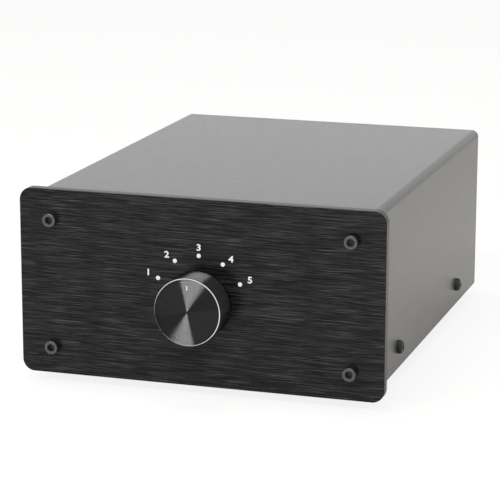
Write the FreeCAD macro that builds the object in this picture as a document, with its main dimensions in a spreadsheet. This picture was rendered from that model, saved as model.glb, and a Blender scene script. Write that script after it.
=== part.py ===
import FreeCAD, Part
import os
import re
import Sketcher

# Audio source selector: a passive switch box with five stereo inputs and one stereo output.
# X runs to the right seen from the front, Y to the rear and Z up, in millimetres. The origin
# lies on the surface that the feet stand on, below the middle of the box from knob to jacks.

SIZES = {
    # Sheet metal case
    "cover_width": 140.4,
    "cover_height": 71.4,
    "cover_depth": 184,
    "cover_bend": 3,
    "sheet_gauge": 1.2,
    "tray_play": 0.15,
    "tray_bend": 2.4,
    "tray_flange": 16,
    "tray_lip": 9,
    "tray_notch": 4.5,
    "tray_relief": 8,
    "rear_inset": 1,
    # Front panel
    "panel_side_lip": 4.8,
    "panel_top_lip": 1.8,
    "panel_bottom_lip": 2.2,
    "panel_thickness": 4,
    "panel_corner": 5,
    "panel_bevel": 0.35,
    "panel_hole_play": 0.3,
    # Screws
    "screw_flats": 2.6,
    "screw_play": 0.1,
    "socket_head_diameter": 5.5,
    "socket_head_height": 3,
    "socket_width": 2.5,
    "socket_depth": 1.6,
    "pan_head_diameter": 5.6,
    "pan_head_height": 2.1,
    "thread_end": 2,
    "panel_screw_side": 13.4,
    "panel_screw_bottom": 11.1,
    "panel_screw_top": 12.2,
    "cover_screw_length": 6,
    "cover_screw_front": 37.5,
    "cover_screw_rear": 40.5,
    "cover_screw_lift": 9,
    # Feet
    "foot_height": 6,
    "foot_width": 12.7,
    "foot_bevel": 1,
    "foot_side": 16,
    "foot_end": 18,
    # Knob and the shaft that it turns
    "axis_lift": 33.8,
    "knob_diameter": 26.8,
    "knob_reach": 14.5,
    "knob_gap": 1,
    "knob_bevel": 0.55,
    "knob_bore_depth": 10.5,
    "pointer_width": 0.6,
    "pointer_length": 3.6,
    "pointer_inset": 0.9,
    "pointer_depth": 0.3,
    "knob_screw_inset": 5.5,
    "set_screw_length": 5,
    "set_screw_width": 1.5,
    "shaft_diameter": 6,
    "shaft_play": 0.05,
    "shaft_flat": 1.5,
    "shaft_end_gap": 0.5,
    # Bushing in the front wall
    "bushing_diameter": 9,
    "bushing_flange_width": 12,
    "bushing_flange": 2,
    "bushing_reach": 3,
    # Shaft coupler
    "coupler_width": 11,
    "coupler_length": 20,
    "coupler_screw_inset": 4,
    "coupler_screw_length": 2.4,
    "shaft_joint_gap": 1,
    "spindle_stub": 12.5,
    # Switch bracket
    "bracket_gauge": 1.5,
    "bracket_width": 40,
    "bracket_foot": 16,
    "bracket_bend": 3,
    "bracket_crown": 14,
    "bracket_corner": 4,
    # Switch frame, its threaded bushing and its nut
    "frame_gauge": 1.5,
    "frame_width": 39,
    "frame_arm_width": 8,
    "frame_arm_gap": 0.1,
    "frame_arm_end": 1.2,
    "switch_depth": 8.5,
    "switch_nut_width": 12,
    "switch_nut_height": 2.5,
    "switch_bushing_end": 0.6,
    # Detent wheel, its spring and the stops
    "arm_gap": 0.2,
    "arm_thickness": 1.2,
    "arm_hub": 5,
    "arm_neck": 8,
    "arm_reach": 14.2,
    "arm_width": 3,
    "stop_start": 11.5,
    "stop_end": 14.5,
    "stop_gap": 0.15,
    "wheel_radius": 10,
    "wheel_thickness": 2.4,
    "notch_radius": 8.4,
    "notch_floor": 1.8,
    "notch_mouth": 3.9,
    "nose_radius": 1.7,
    "nose_gap": 0.3,
    "spring_thickness": 0.4,
    "spring_lift": 2.9,
    "spring_span": 14,
    "spring_hook": 2.5,
    "spring_nose_flat": 0.05,
    "spring_lug_width": 3,
    "spring_lug_gap": 0.1,
    # Wafer, rotor and contacts
    "blade_width": 5,
    "blade_thickness": 2.2,
    "blade_play": 0.05,
    "blade_end": 1,
    "wafer_height": 31,
    "wafer_ear": 2.5,
    "wafer_corner": 8,
    "wafer_thickness": 1.6,
    "rotor_radius": 7,
    "rotor_play": 0.3,
    "rotor_sink": 0.45,
    "contact_thickness": 0.3,
    "ring_inner": 3.4,
    "ring_outer": 5.2,
    "tongue_reach": 6.6,
    "tongue_width": 1.6,
    "clip_reach": 5.8,
    "common_reach": 4.2,
    "strip_width": 1.6,
    "strip_thickness": 0.4,
    "strip_end": 13.5,
    "pin_circle": 12.9,
    "pin_size": 0.7,
    "pin_short": 0.2,
    "slot_play": 0.1,
    # Jack board
    "board_thickness": 1.6,
    "board_margin": 2,
    "board_gap": 5,
    # Jacks
    "jack_side": 18.85,
    "jack_row_spacing": 19,
    "block_gap": 3,
    "block_depth": 11,
    "block_end": 8.5,
    "boss_width": 10.4,
    "boss_play": 0.2,
    "sleeve_diameter": 8.3,
    "sleeve_reach": 9.5,
    "socket_bore": 3.2,
    "socket_bore_depth": 8,
    "tail_size": 1,
    "tail_stub": 1,
    "jack_screw_length": 8,
}

DERIVED = {
    # Case
    "panel_width": "cover_width + 2 * panel_side_lip",
    "panel_height": "cover_height + panel_top_lip + panel_bottom_lip",
    "panel_bottom": "foot_height - panel_bottom_lip",
    "front": "knob_reach - (knob_reach + panel_thickness + cover_depth - rear_inset + sleeve_reach) / 2",
    "case_front": "front + panel_thickness",
    "tray_width": "cover_width - 2 * (sheet_gauge + tray_play)",
    "tray_length": "cover_depth - rear_inset",
    "tray_height": "cover_height - sheet_gauge - tray_play",
    "rear_wall": "case_front + tray_length - sheet_gauge",
    "screw_hole": "screw_flats + 2 * screw_play",
    "panel_screw_x": "panel_width / 2 - panel_screw_side",
    "panel_screw_low": "panel_bottom + panel_screw_bottom",
    "panel_screw_high": "panel_bottom + panel_height - panel_screw_top",
    "foot_x": "tray_width / 2 - foot_side",
    "foot_front": "case_front + foot_end",
    "foot_rear": "case_front + tray_length - foot_end",
    # Selector shaft, from the knob to the switch
    "axis_height": "panel_bottom + axis_lift",
    "knob_back": "front - knob_gap",
    "knob_length": "knob_reach - knob_gap",
    "shaft_start": "knob_back - knob_bore_depth + shaft_end_gap",
    "shaft_hole": "shaft_diameter / 2 + shaft_play",
    "bushing_hole": "bushing_diameter / 2 + screw_play",
    # Switch, from the jack board forward
    "board_rear": "rear_wall - block_depth",
    "board_front": "board_rear - board_thickness",
    "wafer_rear": "board_front - board_gap",
    "wafer_front": "wafer_rear - wafer_thickness",
    "frame_rear": "wafer_front - switch_depth",
    "bracket_rear": "frame_rear - frame_gauge",
    "bracket_front": "bracket_rear - bracket_gauge",
    "switch_front": "bracket_front - switch_nut_height - switch_bushing_end",
    "spindle_start": "switch_front - spindle_stub",
    "shaft_end": "spindle_start - shaft_joint_gap",
    "coupler_start": "spindle_start - (shaft_joint_gap + coupler_length) / 2",
    "blade_start": "frame_rear + arm_gap",
    "wheel_start": "blade_start + arm_thickness",
    "spring_height": "notch_radius + spring_lift",
    "lug_bottom": "spring_height + spring_thickness + spring_lug_gap",
    "frame_top": "lug_bottom + frame_gauge",
    "blade_slot_width": "blade_width + 2 * blade_play",
    "blade_slot_thickness": "blade_thickness + 2 * blade_play",
    # Jacks
    "jack_pitch": "(tray_width - 2 * jack_side) / 5",
    "block_width": "2 * jack_pitch - block_gap",
    "block_height": "jack_row_spacing + 2 * block_end",
}

STEP_ANGLE = 30
POSITIONS = 5
NOTCHES = 360 // STEP_ANGLE
HALF_TURN = STEP_ANGLE * (POSITIONS - 1) / 2
TOLERANCE = 1e-4
AXES = {"X": FreeCAD.Vector(1, 0, 0), "Y": FreeCAD.Vector(0, 1, 0), "Z": FreeCAD.Vector(0, 0, 1)}
PLANE_NORMALS = {"YZ": 1, "XZ": -1, "XY": 1}
JACKS = ["input_1", "input_2", "input_3", "input_4", "input_5", "output"]

doc = FreeCAD.newDocument("AudioSourceSelector")
pieces = {}


# Sheets of sizes: the driving ones are plain numbers, the derived ones are formulas of them
def fill_sheet(name, rows):
    sheet = doc.addObject("Spreadsheet::Sheet", name)
    for row, (alias, content) in enumerate(rows, 1):
        sheet.set(f"A{row}", alias)
        sheet.set(f"B{row}", content)
        sheet.setAlias(f"B{row}", alias)
    return sheet


def formula(text):
    """The text with each size's name led by the sheet that holds it."""

    def led(found):
        word = found.group(0)
        if word in SIZES:
            return "Sizes." + word
        if word in DERIVED:
            return "Derived." + word
        return word

    return re.sub(r"[a-z][a-z_]+", led, text)


sizes = fill_sheet("Sizes", [(alias, str(size)) for alias, size in SIZES.items()])
fill_sheet("Derived", [(alias, "=" + formula(text)) for alias, text in DERIVED.items()])
doc.recompute()


def number(text):
    """The value of a formula, in millimetres."""
    return float(sizes.evalExpression(formula(text)))


def point(x, y, z):
    return FreeCAD.Vector(number(x), number(y), number(z))


def bind_place(thing, x, y, z):
    for axis, place in zip("xyz", (x, y, z)):
        thing.setExpression("Placement.Base." + axis, formula(place))


# Sketch outlines: every corner and centre is held by its two coordinates
def hold_point(sketch, curve, end, x, y):
    for kind, place, axis_line in (("DistanceX", x, -2), ("DistanceY", y, -1)):
        if place == "0":
            sketch.addConstraint(Sketcher.Constraint("PointOnObject", curve, end, axis_line))
        else:
            held = Sketcher.Constraint(kind, -1, 1, curve, end, number(place))
            sketch.setExpression(f"Constraints[{sketch.addConstraint(held)}]", formula(place))


def outline(sketch, corners):
    """A closed outline of straight lines through the corners."""
    first = sketch.GeometryCount
    spots = [FreeCAD.Vector(number(x), number(y), 0) for x, y in corners]
    for spot, after in zip(spots, spots[1:] + spots[:1]):
        sketch.addGeometry(Part.LineSegment(spot, after), False)
    for side, (x, y) in enumerate(corners):
        following = first + (side + 1) % len(corners)
        sketch.addConstraint(Sketcher.Constraint("Coincident", first + side, 2, following, 1))
        hold_point(sketch, first + side, 1, x, y)


def symmetric(corners):
    """The right half of an outline, from low to high, with its mirror image on the left."""
    return corners + [(f"-({x})", y) for x, y in reversed(corners) if x != "0"]


def rectangle(sketch, left, right, low, high):
    outline(sketch, [(left, low), (right, low), (right, high), (left, high)])


def block(sketch, width, height, x="0", y="0"):
    """A rectangle about a middle."""
    rectangle(sketch, f"{x} - ({width}) / 2", f"{x} + ({width}) / 2",
              f"{y} - ({height}) / 2", f"{y} + ({height}) / 2")


def hexagon(sketch, width, x="0", y="0"):
    """A hexagon about a middle, with two flats across the sketch's second axis."""
    corner = f"{width} / sqrt(3)"
    low, high = f"{y} - {width} / 2", f"{y} + {width} / 2"
    outline(sketch, [(f"{x} + {corner} / 2", low), (f"{x} + {corner}", y), (f"{x} + {corner} / 2", high),
                     (f"{x} - {corner} / 2", high), (f"{x} - {corner}", y), (f"{x} - {corner} / 2", low)])


def screw_holes(sketch, places):
    """Holes for screws. They and the shanks are six-sided, which takes an eighth of a round one's faces."""
    for x, y in places:
        hexagon(sketch, "screw_hole", x, y)


def circle(sketch, x, y, radius):
    middle = FreeCAD.Vector(number(x), number(y), 0)
    curve = sketch.addGeometry(Part.Circle(middle, AXES["Z"], number(radius)), False)
    size = sketch.addConstraint(Sketcher.Constraint("Radius", curve, number(radius)))
    sketch.setExpression(f"Constraints[{size}]", formula(radius))
    hold_point(sketch, curve, 3, x, y)


class Piece:
    """One piece of the selector, as a body with features made from sketches."""

    def __init__(self, label, x="0", y="0", z="0", kept=True):
        self.body = doc.addObject("PartDesign::Body", label)
        self.body.Label = label
        bind_place(self.body, x, y, z)
        if kept:
            pieces[label] = self.body

    def sketch(self, plane, at="0"):
        """A sketch on a plane of the piece, such as XZ, at a place along the third axis."""
        sketch = self.body.newObject("Sketcher::SketchObject", "Sketch")
        role = plane + "_Plane"
        support = [each for each in self.body.Origin.OriginFeatures if each.Role == role]
        sketch.AttachmentSupport = (support[0], [""])
        sketch.MapMode = "FlatFace"
        lift = at if PLANE_NORMALS[plane] > 0 else f"-({at})"
        sketch.setExpression("AttachmentOffset.Base.z", formula(lift))
        return sketch

    def feature(self, kind, sketch, length, plane):
        made = self.body.newObject("PartDesign::" + kind, kind)
        made.Profile = sketch
        made.setExpression("Length", formula(length))
        # A pad grows along its sketch's normal and a pocket cuts against it
        made.Reversed = (PLANE_NORMALS[plane] < 0) == (kind == "Pad")
        doc.recompute()
        return made

    def pad(self, plane, at, length, draw):
        """Adds material from the place along the plane's third axis; draw fills the sketch."""
        sketch = self.sketch(plane, at)
        draw(sketch)
        return self.feature("Pad", sketch, length, plane)

    def pocket(self, plane, at, length, draw):
        """Cuts from the place along the plane's third axis."""
        before = self.body.Tip.Shape.Volume
        sketch = self.sketch(plane, at)
        draw(sketch)
        cut = self.feature("Pocket", sketch, length, plane)
        if cut.Shape.Volume > before - TOLERANCE:
            raise ValueError(f"a pocket of {self.body.Label} cuts nothing")
        return cut

    def pierce(self, plane, wall, thickness, draw):
        """Cuts through a wall that starts at the given place along the third axis."""
        return self.pocket(plane, f"{wall} - ({thickness}) / 2", f"2 * ({thickness})", draw)

    def turn(self, plane, corners, axis="H_Axis"):
        """A turned solid: the outline is revolved about the sketch's axis."""
        sketch = self.sketch(plane)
        outline(sketch, corners)
        turned = self.body.newObject("PartDesign::Revolution", "Revolution")
        turned.Profile = sketch
        turned.ReferenceAxis = (sketch, [axis])
        turned.Angle = 360
        doc.recompute()
        return turned

    def edges_at(self, x=None, y=None, z=None):
        """Names of the edges that lie at the given places, on both sides of the middle in X."""
        places = [(axis, abs(number(at)) if axis == 0 else number(at))
                  for axis, at in enumerate((x, y, z)) if at is not None]
        names = []
        for count, edge in enumerate(self.body.Tip.Shape.Edges, 1):
            spots = [(abs(spot.x), spot.y, spot.z) for spot in edge.discretize(3)]
            if all(abs(spot[axis] - at) < TOLERANCE for spot in spots for axis, at in places):
                names.append(f"Edge{count}")
        if not names:
            raise ValueError(f"no edge of {self.body.Label} lies at {x}, {y}, {z}")
        return names

    def dress(self, kind, property_name, size, edges):
        base = self.body.Tip
        dressed = self.body.newObject("PartDesign::" + kind, kind)
        dressed.Base = (base, edges)
        dressed.setExpression(property_name, formula(size))
        doc.recompute()
        return dressed

    def fillet(self, radius, edges):
        return self.dress("Fillet", "Radius", radius, edges)

    def chamfer(self, size, edges):
        return self.dress("Chamfer", "Size", size, edges)

    def polar_pattern(self, feature, count):
        """Repeats a feature about the piece's Y axis."""
        pattern = self.body.newObject("PartDesign::PolarPattern", "PolarPattern")
        pattern.Originals = [feature]
        axis = [each for each in self.body.Origin.OriginFeatures if each.Role == "Y_Axis"]
        pattern.Axis = (axis[0], [""])
        pattern.Angle = 360
        pattern.Occurrences = count
        self.body.Tip = pattern
        doc.recompute()
        return pattern


def stood(place, towards=AXES["Z"], upwards=AXES["Y"]):
    """The placement that stands a master at a place, with its Z and its Y axis turned as given."""
    aside = upwards.cross(towards)
    return FreeCAD.Placement(place, FreeCAD.Rotation(aside, upwards, towards, "ZYX"))


def group(label, copies):
    """A piece that is several separate solids: pairs of a master and its placement."""
    shapes = []
    for master, placement in copies:
        shape = master.Tip.Shape.copy()
        shape.Placement = placement.multiply(shape.Placement)
        shapes.append(shape)
    feature = doc.addObject("Part::Feature", label)
    feature.Label = label
    feature.Shape = Part.makeCompound(shapes)
    pieces[label] = feature


def signed_pair(text):
    return ["-" + text, text]


# Front panel: a plate with rounded corners and a bevelled front edge
panel_screw_places = [(x, z) for x in signed_pair("panel_screw_x")
                      for z in ("panel_screw_low", "panel_screw_high")]

panel = Piece("front_panel", y="case_front", z="panel_bottom")
panel.pad("XZ", "-panel_thickness", "panel_thickness",
          lambda sketch: rectangle(sketch, "-panel_width / 2", "panel_width / 2", "0", "panel_height"))
panel.fillet("panel_corner", panel.edges_at(x="panel_width / 2", z="0")
             + panel.edges_at(x="panel_width / 2", z="panel_height"))
panel.chamfer("panel_bevel", panel.edges_at(y="-panel_thickness"))
panel.pierce("XZ", "-panel_thickness", "panel_thickness", lambda sketch: [
    screw_holes(sketch, [(x, f"{z} - panel_bottom") for x, z in panel_screw_places]),
    circle(sketch, "0", "axis_lift", "bushing_diameter / 2 + panel_hole_play")])


# Base tray: floor, front wall, rear wall with inward lips, and two side flanges
jack_columns = {name: f"jack_pitch * ({(len(JACKS) - 1) / 2 - place})" for place, name in enumerate(JACKS)}
jack_rows = {"left": "jack_row_spacing / 2", "right": "-jack_row_spacing / 2"}
jack_places = [(x, z) for x in jack_columns.values() for z in jack_rows.values()]
block_columns = {"jack_block_right": "2 * jack_pitch", "jack_block_middle": "0",
                 "jack_block_left": "-2 * jack_pitch"}
foot_places = {"front_left": ("-foot_x", "foot_front"), "front_right": ("foot_x", "foot_front"),
               "rear_left": ("-foot_x", "foot_rear"), "rear_right": ("foot_x", "foot_rear")}
cover_screw_places = ["cover_screw_front", "cover_depth - cover_screw_rear"]

tray = Piece("base_tray", y="case_front", z="foot_height")
tray.pad("YZ", "-tray_width / 2", "tray_width", lambda sketch: outline(sketch, [
    ("0", "0"),
    ("tray_length", "0"),
    ("tray_length", "tray_height"),
    ("tray_length - tray_lip", "tray_height"),
    ("tray_length - tray_lip", "tray_height - sheet_gauge"),
    ("tray_length - sheet_gauge", "tray_height - sheet_gauge"),
    ("tray_length - sheet_gauge", "sheet_gauge"),
    ("sheet_gauge", "sheet_gauge"),
    ("sheet_gauge", "tray_height - sheet_gauge"),
    ("tray_lip", "tray_height - sheet_gauge"),
    ("tray_lip", "tray_height"),
    ("0", "tray_height"),
]))
tray.fillet("tray_bend", tray.edges_at(y="0", z="0") + tray.edges_at(y="tray_length", z="0")
            + tray.edges_at(y="0", z="tray_height") + tray.edges_at(y="tray_length", z="tray_height"))
inner_bends = []
for y in ("sheet_gauge", "tray_length - sheet_gauge"):
    for z in ("sheet_gauge", "tray_height - sheet_gauge"):
        inner_bends += tray.edges_at(y=y, z=z)
tray.fillet("tray_bend - sheet_gauge", inner_bends)


def draw_top_notches(sketch):
    for side in (-1, 1):
        inner = f"{side} * (tray_width / 2 - tray_notch)"
        outer = f"{side} * (tray_width / 2 + tray_notch)"
        rectangle(sketch, inner, outer, "tray_height - tray_notch", "tray_height + tray_notch")


def draw_side_flanges(sketch):
    for side in (-1, 1):
        rectangle(sketch, f"{side} * (tray_width / 2 - sheet_gauge)", f"{side} * tray_width / 2",
                  "0", "tray_flange")


def draw_corner_reliefs(sketch):
    for side in (-1, 1):
        inner = f"{side} * (tray_width / 2 - tray_bend - sheet_gauge)"
        outer = f"{side} * (tray_width / 2 + sheet_gauge)"
        rectangle(sketch, inner, outer, "tray_bend", "tray_relief")
        rectangle(sketch, inner, outer, "tray_length - tray_relief", "tray_length - tray_bend")


tray.pocket("XZ", "-sheet_gauge", "tray_length + 2 * sheet_gauge", draw_top_notches)
tray.pad("XZ", "tray_relief", "tray_length - 2 * tray_relief", draw_side_flanges)
tray.pocket("XY", "-sheet_gauge", "3 * sheet_gauge", draw_corner_reliefs)
tray.fillet("tray_bend", [name for name in tray.edges_at(x="tray_width / 2", z="0")
                          if tray.body.Tip.Shape.getElement(name).Length > number("tray_flange")])
tray.fillet("tray_bend - sheet_gauge",
            tray.edges_at(x="tray_width / 2 - sheet_gauge", z="sheet_gauge"))
tray.pierce("XZ", "0", "sheet_gauge", lambda sketch: [
    screw_holes(sketch, [(x, f"{z} - foot_height") for x, z in panel_screw_places]),
    circle(sketch, "0", "axis_height - foot_height", "bushing_hole")])
tray.pierce("XZ", "tray_length - sheet_gauge", "sheet_gauge", lambda sketch: screw_holes(
    sketch, [(x, "axis_height - foot_height") for x in block_columns.values()]))
tray.pierce("YZ", "-tray_width / 2", "tray_width", lambda sketch: screw_holes(
    sketch, [(y, "cover_screw_lift") for y in cover_screw_places]))


def draw_jack_windows(sketch):
    window = "boss_width + 2 * boss_play"
    for x, z in jack_places:
        block(sketch, window, window, x, f"axis_height - foot_height + {z}")


tray.pocket("XZ", "tray_length - 1.5 * sheet_gauge", "2 * sheet_gauge", draw_jack_windows)


# Top cover: one sheet bent into a U, held by two screws in each side
cover = Piece("top_cover", y="case_front", z="foot_height")
cover.pad("XZ", "0", "cover_depth", lambda sketch: outline(sketch, [
    ("-cover_width / 2", "0"),
    ("-cover_width / 2 + sheet_gauge", "0"),
    ("-cover_width / 2 + sheet_gauge", "cover_height - sheet_gauge"),
    ("cover_width / 2 - sheet_gauge", "cover_height - sheet_gauge"),
    ("cover_width / 2 - sheet_gauge", "0"),
    ("cover_width / 2", "0"),
    ("cover_width / 2", "cover_height"),
    ("-cover_width / 2", "cover_height"),
]))
cover.fillet("cover_bend", cover.edges_at(x="cover_width / 2", z="cover_height"))
cover.fillet("cover_bend - sheet_gauge",
             cover.edges_at(x="cover_width / 2 - sheet_gauge", z="cover_height - sheet_gauge"))
cover.pierce("YZ", "-cover_width / 2", "cover_width", lambda sketch: screw_holes(
    sketch, [(y, "cover_screw_lift") for y in cover_screw_places]))


# Screws: each master stands on the plane that its head seats on, with its head up. The shank is
# a six-sided bar as thick as the thread, and fits the six-sided holes
def screw(label, length, head_diameter, head_height):
    made = Piece(label, kept=False)
    made.pad("XY", "0", head_height, lambda sketch: circle(sketch, "0", "0", f"{head_diameter} / 2"))
    made.pad("XY", f"-({length})", length, lambda sketch: hexagon(sketch, "screw_flats"))
    return made


panel_screw = screw("panel_screw", "panel_thickness + sheet_gauge + thread_end",
                    "socket_head_diameter", "socket_head_height")
panel_screw.pocket("XY", "socket_head_height - socket_depth", "socket_depth",
                   lambda sketch: hexagon(sketch, "socket_width"))
group("panel_screws", [(panel_screw.body, stood(point(x, "front", z), -AXES["Y"], AXES["Z"]))
                       for x, z in panel_screw_places])

cover_screw = screw("cover_screw", "cover_screw_length", "pan_head_diameter", "pan_head_height")
group("cover_screws", [
    (cover_screw.body, stood(point(f"{side} * cover_width / 2", f"case_front + {y}",
                                   "foot_height + cover_screw_lift"), AXES["X"] * side, AXES["Z"]))
    for side in (-1, 1) for y in cover_screw_places])


# Feet: square rubber pads stuck to the floor of the tray, bevelled round their lower face
for corner, (x, y) in foot_places.items():
    foot = Piece("foot_" + corner, x, y)
    foot.pad("XY", "0", "foot_height", lambda sketch: block(sketch, "foot_width", "foot_width"))
    foot.chamfer("foot_bevel", foot.edges_at(z="0"))


# Knob: turned from the bar, with a bright cut bevel and a bore for the shaft
knob = Piece("knob", y="knob_back", z="axis_height")
knob.turn("YZ", [
    ("0", "shaft_hole"),
    ("0", "knob_diameter / 2"),
    ("-(knob_length - knob_bevel)", "knob_diameter / 2"),
    ("-knob_length", "knob_diameter / 2 - knob_bevel"),
    ("-knob_length", "0"),
    ("-knob_bore_depth", "0"),
    ("-knob_bore_depth", "shaft_hole"),
])
pointer_end = "knob_diameter / 2 - knob_bevel - pointer_inset"
knob.pocket("XZ", "-knob_length", "pointer_depth",
            lambda sketch: rectangle(sketch, "-pointer_width / 2", "pointer_width / 2",
                                     f"{pointer_end} - pointer_length", pointer_end))
knob.pocket("XY", "-knob_diameter / 2", "knob_diameter / 2",
            lambda sketch: screw_holes(sketch, [("0", "-knob_screw_inset")]))


def set_screw(label, length, x="0", y="0", z="0", kept=True):
    """A headless screw that points up, with its hexagon socket in the lower end."""
    screw = Piece(label, x, y, z, kept)
    screw.pad("XY", f"-({length})", length, lambda sketch: hexagon(sketch, "screw_flats"))
    screw.pocket("XY", f"-({length})", f"({length}) / 2", lambda sketch: hexagon(sketch, "set_screw_width"))
    return screw.body


set_screw("knob_set_screw", "set_screw_length", y="knob_back - knob_screw_inset",
          z="axis_height - shaft_diameter / 2 + shaft_flat - shaft_play")


# Selector shaft: a round rod with a flat under the knob's set screw
shaft = Piece("selector_shaft", y="shaft_start", z="axis_height")
shaft.pad("XZ", "0", "shaft_end - shaft_start",
          lambda sketch: circle(sketch, "0", "0", "shaft_diameter / 2"))
shaft.pocket("XZ", "0", "knob_bore_depth - shaft_end_gap",
             lambda sketch: rectangle(sketch, "-shaft_diameter / 2", "shaft_diameter / 2",
                                      "-shaft_diameter / 2", "-shaft_diameter / 2 + shaft_flat"))


# Front bushing: pressed into the front wall, with a hexagonal flange behind it
front_bushing = Piece("front_bushing", y="case_front + sheet_gauge", z="axis_height")
front_bushing.pad("XZ", "0", "bushing_flange", lambda sketch: hexagon(sketch, "bushing_flange_width"))
front_bushing.pad("XZ", "-(sheet_gauge + bushing_reach)", "sheet_gauge + bushing_reach",
                  lambda sketch: circle(sketch, "0", "0", "bushing_diameter / 2"))
front_bushing.pocket("XZ", "-(sheet_gauge + bushing_reach)",
                     "sheet_gauge + bushing_reach + bushing_flange",
                     lambda sketch: circle(sketch, "0", "0", "shaft_hole"))


# Coupler: a piece of hexagonal bar that joins the long shaft to the switch's own spindle
coupler = Piece("shaft_coupler", y="coupler_start", z="axis_height")
coupler.pad("XZ", "0", "coupler_length", lambda sketch: hexagon(sketch, "coupler_width"))
coupler.pierce("XZ", "0", "coupler_length", lambda sketch: circle(sketch, "0", "0", "shaft_hole"))
coupler_screw_places = ["coupler_screw_inset", "coupler_length - coupler_screw_inset"]
coupler.pocket("XY", "-coupler_width / 2", "coupler_width / 2", lambda sketch: screw_holes(
    sketch, [("0", y) for y in coupler_screw_places]))
coupler_screw = set_screw("coupler_screw", "coupler_screw_length", kept=False)
group("coupler_set_screws", [
    (coupler_screw, stood(point("0", f"coupler_start + {y}", "axis_height - shaft_hole")))
    for y in coupler_screw_places])


# Switch bracket: an angle of sheet, spot welded to the tray's floor, that takes the turning force
bracket = Piece("switch_bracket", y="bracket_rear", z="foot_height + sheet_gauge")
bracket_axis = "axis_height - foot_height - sheet_gauge"
bracket_top = f"{bracket_axis} + bracket_crown"
bracket.pad("YZ", "-bracket_width / 2", "bracket_width", lambda sketch: outline(sketch, [
    ("0", "0"),
    ("0", bracket_top),
    ("-bracket_gauge", bracket_top),
    ("-bracket_gauge", "bracket_gauge"),
    ("-(bracket_gauge + bracket_foot)", "bracket_gauge"),
    ("-(bracket_gauge + bracket_foot)", "0"),
]))
bracket.fillet("bracket_bend", bracket.edges_at(y="0", z="0"))
bracket.fillet("bracket_bend - bracket_gauge", bracket.edges_at(y="-bracket_gauge", z="bracket_gauge"))
bracket.chamfer("bracket_corner", bracket.edges_at(x="bracket_width / 2", z=bracket_top)
                + bracket.edges_at(x="bracket_width / 2", y="-(bracket_gauge + bracket_foot)"))
bracket.pierce("XZ", "-bracket_gauge", "bracket_gauge",
               lambda sketch: circle(sketch, "0", bracket_axis, "bushing_hole"))


# Switch frame: a plate with bent arms for the wafer, bent lugs and a threaded bushing
def stop_lug(side):
    """A lug beside the stop arm's end position, square to the arm."""
    near = "arm_width / 2 + stop_gap"
    corners = [("stop_start", near), ("stop_end", near),
               ("stop_end", f"{near} + frame_gauge"), ("stop_start", f"{near} + frame_gauge")]
    along, across = f"sin({HALF_TURN})", f"cos({HALF_TURN})"
    return [(f"{side} * (({reach}) * {along} + ({aside}) * {across})",
             f"({aside}) * {along} - ({reach}) * {across}") for reach, aside in corners]


def draw_side_arms(sketch):
    for side in (-1, 1):
        block(sketch, "frame_gauge", "frame_arm_width", f"{side} * (frame_width - frame_gauge) / 2")


def draw_spring_lugs(sketch):
    for side in (-1, 1):
        block(sketch, "spring_lug_width", "frame_gauge",
              f"{side} * (spring_span - spring_lug_width / 2)", "lug_bottom + frame_gauge / 2")


bushing_length = "bracket_gauge + switch_nut_height + switch_bushing_end"
frame = Piece("switch_frame", y="bracket_rear", z="axis_height")
frame.pad("XZ", "0", "frame_gauge", lambda sketch: block(sketch, "frame_width", "2 * frame_top"))
frame.pad("XZ", "frame_gauge", "switch_depth + wafer_thickness + frame_arm_end", draw_side_arms)
frame.pad("XZ", "frame_gauge", "arm_gap + arm_thickness",
          lambda sketch: [outline(sketch, stop_lug(side)) for side in (-1, 1)])
frame.pad("XZ", "frame_gauge", "arm_gap + arm_thickness + wheel_thickness", draw_spring_lugs)
frame.pad("XZ", f"-({bushing_length})", bushing_length,
          lambda sketch: circle(sketch, "0", "0", "bushing_diameter / 2"))
frame.pocket("XZ", f"-({bushing_length})", f"{bushing_length} + frame_gauge",
             lambda sketch: circle(sketch, "0", "0", "shaft_hole"))

nut = Piece("switch_nut", y="bracket_front - switch_nut_height", z="axis_height")
nut.pad("XZ", "0", "switch_nut_height", lambda sketch: hexagon(sketch, "switch_nut_width"))
nut.pierce("XZ", "0", "switch_nut_height", lambda sketch: circle(sketch, "0", "0", "bushing_hole"))


# Spindle: round in its bushing, and a flat blade through stop arm, wheel and rotor
spindle = Piece("switch_spindle", y="spindle_start", z="axis_height")
spindle.pad("XZ", "0", "blade_start - spindle_start",
            lambda sketch: circle(sketch, "0", "0", "shaft_diameter / 2"))
spindle.pad("XZ", "blade_start - spindle_start", "wafer_rear + blade_end - blade_start",
            lambda sketch: block(sketch, "blade_width", "blade_thickness"))


def draw_blade_slot(sketch):
    block(sketch, "blade_slot_width", "blade_slot_thickness")


# Stop arm: turns with the spindle between the two stop lugs
arm = Piece("stop_arm", y="blade_start", z="axis_height")
arm.pad("XZ", "0", "arm_thickness", lambda sketch: outline(sketch, symmetric([
    ("arm_width / 2", "-arm_reach"),
    ("arm_width / 2", "-arm_neck"),
    ("arm_hub", "-arm_hub / 2"),
    ("arm_hub", "arm_hub"),
])))
arm.pierce("XZ", "0", "arm_thickness", draw_blade_slot)


# Detent wheel: a star with a flat-bottomed notch for every step of the knob
wheel = Piece("detent_wheel", y="wheel_start", z="axis_height")
wheel.pad("XZ", "0", "wheel_thickness", lambda sketch: circle(sketch, "0", "0", "wheel_radius"))
wheel_notch = wheel.pierce("XZ", "0", "wheel_thickness",
                           lambda sketch: outline(sketch, symmetric([
                               ("notch_floor / 2", "notch_radius"),
                               ("notch_mouth / 2", "wheel_radius"),
                               ("notch_mouth / 2", "wheel_radius + arm_gap"),
                           ])))
wheel.polar_pattern(wheel_notch, NOTCHES)
wheel.pierce("XZ", "0", "wheel_thickness", draw_blade_slot)


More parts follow.
